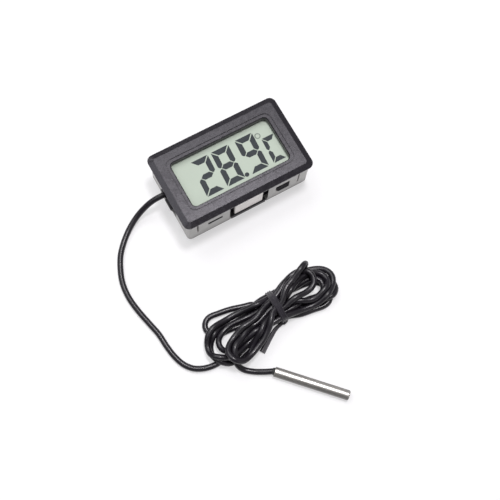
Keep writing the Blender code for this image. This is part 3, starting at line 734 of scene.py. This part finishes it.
def settle(plan, free):
    """Lets the cord's strands press apart, smooth out and lie down, close to the plan."""
    line, count = plan.copy(), len(plan)
    step = np.linalg.norm(np.diff(plan, axis=0), axis=1).mean()
    apart = round(NEAR / step)
    for turn in range(SETTLE_STEPS):
        if turn % PAIRS_EVERY == 0:
            pairs = near_pairs(line, NEAR, apart)
        # smooth the bends, hold to the plan and sag
        even = line.copy()
        even[2:-2] = (-line[:-4] + 4 * line[1:-3] + 4 * line[3:-1] - line[4:]) / 6
        mean = line.copy()
        mean[1:-1] = 0.5 * (line[:-2] + line[2:])
        line[free] += (SMOOTHING * (EVEN_SHARE * even + MEAN_SHARE * mean - line))[free]
        hold = HOLD * (1 - 0.8 * turn / SETTLE_STEPS)
        line[free, :2] += hold * (plan - line)[free, :2]
        line[free, 2] += UPRIGHT_HOLD * hold * (plan - line)[free, 2] - SAG
        along = np.gradient(line, axis=0)
        along /= np.linalg.norm(along, axis=1)[:, None]
        i, j = pairs.T
        crossing = np.linalg.norm(np.cross(along[i], along[j]), axis=1)
        for _ in range(CONTACT_ROUNDS):
            gap = line[i] - line[j]
            length = np.maximum(np.linalg.norm(gap, axis=1), 1e-6)
            short = np.maximum(CORD_DIAMETER - length, 0)
            # strands that cross are pushed apart mostly up and down
            gap[:, :2] *= np.clip(1.25 - crossing, 0.2, 1.0)[:, None]
            gap /= np.maximum(np.linalg.norm(gap, axis=1), 1e-6)[:, None]
            push = gap * (CONTACT_PUSH * short)[:, None]
            move, hits = np.zeros_like(line), np.zeros(count)
            touching = short > 0
            np.add.at(move, i[touching], push[touching])
            np.add.at(move, j[touching], -push[touching])
            np.add.at(hits, i[touching], 1)
            np.add.at(hits, j[touching], 1)
            line[free] += (move / np.sqrt(np.maximum(hits, 1))[:, None])[free]
            # keep the points evenly spaced, the folds open and everything above the table
            for first in (0, 1):
                a = np.arange(first, count - 1, 2)
                reach = line[a + 1] - line[a]
                long = np.linalg.norm(reach, axis=1)
                pull = reach * ((long - step) / long * 0.5)[:, None]
                line[a] += pull * free[a][:, None]
                line[a + 1] -= pull * free[a + 1][:, None]
            chord = line[FOLD_SPAN:] - line[:-FOLD_SPAN]
            across = np.linalg.norm(chord, axis=1)
            spread = chord * (FOLD_PUSH * np.maximum(FOLD_CHORD - across, 0) / across)[:, None]
            line[FOLD_SPAN:] += spread * free[FOLD_SPAN:, None]
            line[:-FOLD_SPAN] -= spread * free[:-FOLD_SPAN, None]
            under_tie = np.abs(line[:, 0] - TIE_X) < 0.5 * TIE_WIDTH + TIE_MARGIN
            ground = CORD_DIAMETER / 2 + np.where(under_tie, TIE_LIFT, 0.0)
            line[free, 2] = np.maximum(line, ground[:, None])[free, 2]
    return line


def make_cord(looks):
    """The cable from the meter to the probe; returns it with its points, in millimetres."""
    plan = curve_through(planned_route(), CORD_STEP)
    # the stretch that lies free before the hank, and the last of the tail, keep their places
    reach_hank = np.argmin(np.linalg.norm(plan - np.array(FREE_FROM), axis=1))
    free = np.zeros(len(plan), bool)
    free[reach_hank:len(plan) - TAIL_POINTS] = True
    line = settle(plan, free)
    curve = bpy.data.curves.new("sensor_cable", "CURVE")
    curve.dimensions = "3D"
    curve.bevel_depth = 0.5 * CORD_DIAMETER * MM
    curve.bevel_resolution = 4
    curve.use_fill_caps = True
    spline = curve.splines.new("POLY")
    spline.points.add(len(line) - 1)
    for target, point in zip(spline.points, line):
        target.co = (*(point * MM), 1.0)
    spline.use_smooth = True
    curve.materials.append(looks["cable_black"])
    cable = bpy.data.objects.new("sensor_cable", curve)
    bpy.context.scene.collection.objects.link(cable)
    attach(cable, "meter")
    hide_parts("sensor_cable_lead", "sensor_cable_hank", "sensor_cable_tail")
    return cable, line


# ---- tie ----------------------------------------------------------------------------------------
BAND_CLEARANCE, BAND_STEP = 0.06, 0.45       # from the strands, and between sections
BAND_SMOOTHINGS, BAND_STRIPS = 6, 24
NUB_STEPS, NUB_SIDES, TAIL_SIDES = 12, 14, 16


def loop_round(points, away):
    """Closed outline a set distance away from the convex hull of flat points."""
    hull = []
    for sign in (1, -1):
        chain = []
        for p in sorted(map(tuple, points), reverse=sign < 0):
            while len(chain) > 1 and ((chain[-1][0] - chain[-2][0]) * (p[1] - chain[-2][1])
                                      - (chain[-1][1] - chain[-2][1]) * (p[0] - chain[-2][0])) <= 0:
                chain.pop()
            chain.append(p)
        hull += chain[:-1]
    outline = []
    for before, here, after in zip(hull[-1:] + hull[:-1], hull, hull[1:] + hull[:1]):
        into = math.atan2(here[1] - before[1], here[0] - before[0]) - math.pi / 2
        out_of = math.atan2(after[1] - here[1], after[0] - here[0]) - math.pi / 2
        sweep = (out_of - into) % (2 * math.pi)
        for step in range(max(2, round(sweep / 0.2)) + 1):
            angle = into + sweep * step / max(2, round(sweep / 0.2))
            outline.append((here[0] + away * math.cos(angle), here[1] + away * math.sin(angle)))
    return outline


def make_tie_band(line, look):
    """The ribbed band round the strands; returns it with the lowest Y of its path."""
    near = np.abs(line[:, 0] - TIE_X) < 0.5 * TIE_WIDTH + 0.3
    path = loop_round(line[near][:, 1:], 0.5 * CORD_DIAMETER + BAND_CLEARANCE)
    path = spaced(np.array([(0.0, y, z) for y, z in path + path[:1]]), BAND_STEP)[:-1, 1:]
    for _ in range(BAND_SMOOTHINGS):
        path = 0.25 * np.roll(path, 1, 0) + 0.5 * path + 0.25 * np.roll(path, -1, 0)
    path[:, 1] = np.maximum(path[:, 1], 0.10)
    along = np.roll(path, -1, 0) - np.roll(path, 1, 0)
    out = np.stack([along[:, 1], -along[:, 0]], axis=1)
    out /= np.linalg.norm(out, axis=1)[:, None]
    half, count = 0.5 * TIE_WIDTH, len(path)
    # ribbon section: a smooth inner face and three soft ribs outside, as (across, outwards)
    section = [(-half, 0.02)]
    for step in range(BAND_STRIPS + 1):
        u = -1 + 2 * step / BAND_STRIPS
        section.append((half * u, 0.34 + 0.12 * math.cos(3 * math.pi * u) - 0.28 * u ** 8))
    section.append((half, 0.02))
    bm = bmesh.new()
    rings = []
    for k in range(count):
        turn = 2 * math.pi * k / count
        # the band wanders and swells a little on its way round
        shift = 0.22 * math.sin(turn) + 0.10 * math.sin(2 * turn + 1.0)
        swell = 1.0 + 0.10 * math.sin(3 * turn)
        rings.append([bm.verts.new(Vector((TIE_X + shift + u * swell,
                                           path[k, 0] + out[k, 0] * h,
                                           max(0.06, path[k, 1] + out[k, 1] * h))) * MM)
                      for u, h in section])
    skin(bm, rings, closed=True)
    band = object_from("cable_tie", bm, look)
    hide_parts("twist_tie")
    return band, path[:, 0].min()


def make_tie_nub(low_y, look):
    """A small twisted nub that closes the tie at its lower side."""
    bm = bmesh.new()
    rings = []
    for k in range(NUB_STEPS + 1):
        share = k / NUB_STEPS
        ease = math.sqrt(max(0.03, 1 - (2 * share - 1) ** 4))
        ring = []
        for angle in turn_angles(NUB_SIDES):
            radius = (0.55 + 0.13 * math.cos(2 * angle - 4.0 * share)) * ease
            ring.append(bm.verts.new(Vector((TIE_X - 0.9 + 2.0 * share,
                                             low_y - 0.25 + radius * math.cos(angle),
                                             1.25 + 0.3 * share + radius * math.sin(angle))) * MM))
        rings.append(ring)
    capped_skin(bm, rings)
    return object_from("tie_nub", bm, look)


def make_tie_tail(low_y, look):
    """The tie's free end, which widens and lies on the surface beside the loops."""
    centre = curve_through(np.array([(TIE_X - 0.9, low_y - 0.1, 1.5), (-12.2, low_y - 0.55, 1.1),
                                     (-14.6, -54.6, 0.75), (-17.4, -56.3, 0.45),
                                     (-20.1, -58.0, 0.32)]), 0.4)
    bm = bmesh.new()
    rings = []
    for k, point in enumerate(centre):
        way = Vector(centre[min(k + 1, len(centre) - 1)] - centre[max(k - 1, 0)])
        across = Vector((-way.y, way.x, 0)).normalized()
        half = 0.55 + 0.45 * k / (len(centre) - 1)
        rings.append([bm.verts.new((Vector(point) + across * half * math.cos(a)
                                    + Vector((0, 0, 0.24 + 0.08 * math.cos(3 * a)))
                                    * math.sin(a)) * MM) for a in turn_angles(TAIL_SIDES)])
    capped_skin(bm, rings)
    return object_from("tie_tail", bm, look)


def make_tie(line):
    """Ribbed plastic tie pulled tight round the strands, with a nub and a free end."""
    look = material_cable("tie_black", (0.028, 0.025, 0.032), 0.38)
    band, low_y = make_tie_band(line, look)
    pieces = [band, make_tie_nub(low_y, look), make_tie_tail(low_y, look)]
    for piece in pieces:
        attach(piece, "meter")
    return pieces


# ---- probe --------------------------------------------------------------------------------------
def lathe(name, profile, material, start, way, sides):
    """A solid turned about a line; profile holds (distance along, radius) pairs."""
    turn = Matrix.Translation(start * MM) @ way.to_track_quat("Z", "Y").to_matrix().to_4x4()
    bm = bmesh.new()
    rings = []
    for along, radius in profile:
        if radius == 0:
            rings.append([bm.verts.new((0, 0, along * MM))])
        else:
            rings.append([bm.verts.new((radius * MM * math.cos(a), radius * MM * math.sin(a),
                                        along * MM)) for a in turn_angles(sides)])
    for a, b in zip(rings, rings[1:]):
        for i in range(sides):
            j = (i + 1) % sides
            corners = [a[i % len(a)], a[j % len(a)], b[j % len(b)], b[i % len(b)]]
            bm.faces.new(list(dict.fromkeys(corners)))
    bmesh.ops.transform(bm, matrix=turn, verts=bm.verts)
    return object_from(name, bm, material, sharp_angle=50.0)


def make_probe(looks):
    """Polished tube with a rolled mouth, a chamfered closed end and a rubber seal."""
    r, length, wall = PROBE_RADIUS, PROBE_LENGTH, PROBE_WALL
    profile = [(2.6, 0.0), (2.6, r - wall), (0.14, r - wall), (0.03, r - wall + 0.07),
               (0.0, r - 0.5 * wall), (0.04, r - 0.06), (0.14, r)]
    profile += [(at, r) for at in np.linspace(0.4, length - 0.5, 24)]
    profile += [(length - 0.36, r), (length - 0.30, r - 0.02), (length - 0.06, r - 0.26),
                (length - 0.01, r - 0.34), (length, r - 0.45), (length, 0.6), (length, 0.0)]
    tube = lathe("probe_tube", profile, looks["stainless_steel"], PROBE_START, PROBE_WAY, 96)
    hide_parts("probe_sheath")
    seal = lathe("probe_grommet", [(2.4, 0.0), (2.4, r - wall - 0.05), (0.2, r - wall - 0.05),
                                   (-0.05, r - wall - 0.1), (-0.30, 1.18), (-0.7, 1.10),
                                   (-0.78, 1.02), (-0.70, 0.9), (2.2, 0.9), (2.2, 0.0)],
                 looks["seal_black"], PROBE_START, PROBE_WAY, 64)
    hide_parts("probe_seal")
    for piece in (tube, seal):
        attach(piece, "meter")
    return tube, seal


# ---- everything together ------------------------------------------------------------------------
def main():
    make_camera()
    make_stage()
    looks = make_materials()
    for name, node in NODES.items():
        look = looks[SLOTS[name]]
        node.data.materials.clear()
        node.data.materials.append(look)
    dress("housing", looks, "housing_shell", 0.14)
    dress("front_frame", looks, "frame_bezel", 0.14, angle=18.0, sharp_angle=18.0)
    clip_look = moulded("clip_black", (0.022, 0.020, 0.026), 0.40, 0.2, 0.005).material
    for side in ("left", "right"):
        clip = dress("panel_clip_" + side, looks, "clip_tongue_" + side, 0.16)
        clip.data.materials[0] = clip_look
    dull_black = moulded("hook_black", (0.020, 0.019, 0.022), 0.6, 0.2, 0.006, gloss=0.02).material
    make_hook_faces(dull_black)
    make_painted_gap_shadow(dull_black)
    dress("battery_end_plate", looks, "end_panel", 0.18)
    dress("battery_door", looks, "sliding_door", 0.14)
    dress("cable_bushing", looks, "cable_grommet", 0.12)
    make_digits()
    cable, line = make_cord(looks)
    tie_pieces = make_tie(line)
    probe_pieces = make_probe(looks)


main()
